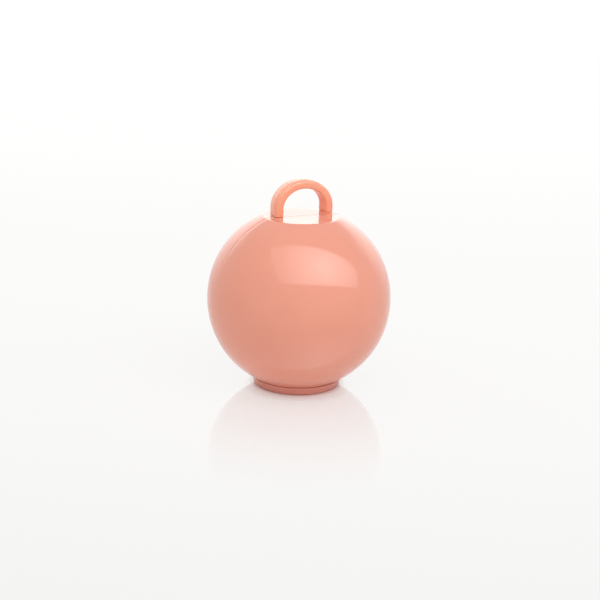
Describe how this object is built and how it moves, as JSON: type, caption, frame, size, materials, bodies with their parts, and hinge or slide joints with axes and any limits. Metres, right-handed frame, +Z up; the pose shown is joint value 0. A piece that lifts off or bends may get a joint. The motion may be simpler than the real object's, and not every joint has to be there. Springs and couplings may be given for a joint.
{
  "type": "balloon weight",
  "caption": "Ball-shaped balloon weight with a flat land and a ribbon loop on top and a round foot below, a plastic shell filled with sand.",
  "frame": {"origin": "centre of the foot's underside, on the surface that the weight stands on", "axes": "+Z up through the ball's centre and the loop's crown, X along the loop's span, -Y towards the front"},
  "size_m": [0.055, 0.055, 0.0626],
  "materials": {
    "coral_plastic": "gloss",
    "sand": "matte"
  },
  "bodies": {
    "root": {"front_shell": "coral_plastic", "rear_shell": "coral_plastic", "loop": "coral_plastic", "base_cap": "coral_plastic", "ballast": "sand"}
  },
  "joints": []
}
